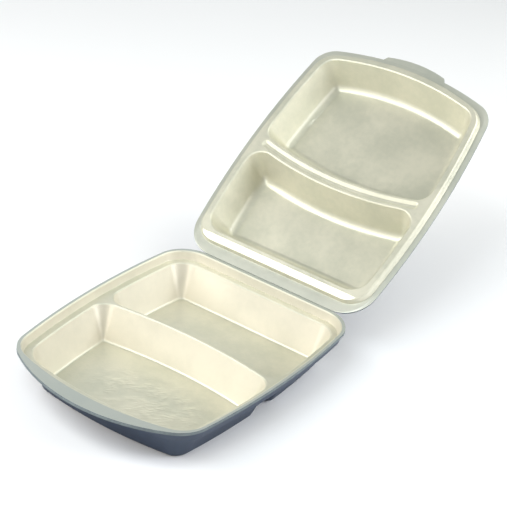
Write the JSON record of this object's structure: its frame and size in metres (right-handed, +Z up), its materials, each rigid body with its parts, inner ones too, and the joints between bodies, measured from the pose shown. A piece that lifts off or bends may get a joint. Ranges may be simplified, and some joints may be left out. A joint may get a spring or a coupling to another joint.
{
  "type": "clamshell food container",
  "caption": "Shallow hinged foam meal box with a small and a large compartment in the tray, matching domed compartments in the lid, and a front tab.",
  "frame": {"origin": "on the ground, centre of the underside of the large compartment's floor", "axes": "+X along the crease, to the right seen from the front; +Y from the tray's front lip towards the crease and the lid; +Z up"},
  "size_m": [0.1914, 0.4533, 0.174],
  "materials": {
    "foam": "satin skin on formed polystyrene foam"
  },
  "bodies": {
    "tray": {"tray": "foam"},
    "lid": {"lid": "foam"}
  },
  "joints": [
    {"name": "crease", "type": "hinge", "parent": "tray", "child": "lid", "pos_m": [0, 0.1644, 0.03875], "axis": [1, 0, 0], "range_deg": [-33.9, 146.1]}
  ]
}
